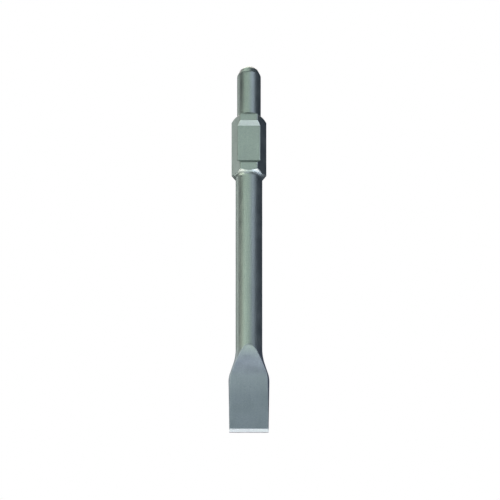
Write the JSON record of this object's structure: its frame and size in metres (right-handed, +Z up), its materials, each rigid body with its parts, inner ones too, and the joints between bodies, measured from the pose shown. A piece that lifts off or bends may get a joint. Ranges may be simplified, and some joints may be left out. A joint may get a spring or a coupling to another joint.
{
  "type": "demolition hammer flat chisel",
  "caption": "Forged steel flat chisel bit with a hexagonal shank, round guide end, retainer notch and wide ground blade.",
  "frame": {"origin": "under the middle of the chisel's length, on the surface that it lies on", "axes": "+Y along the chisel's axis towards the striking end, +X across the width of the blade, +Z up through the flat with the retainer notch"},
  "size_m": [0.0402, 0.41, 0.03],
  "materials": {
    "forged_steel": "forged and grit-blasted steel with a satin grey oxide, brighter where the cutting edge is ground"
  },
  "bodies": {
    "root": {"flat_chisel": "forged_steel"}
  },
  "joints": []
}
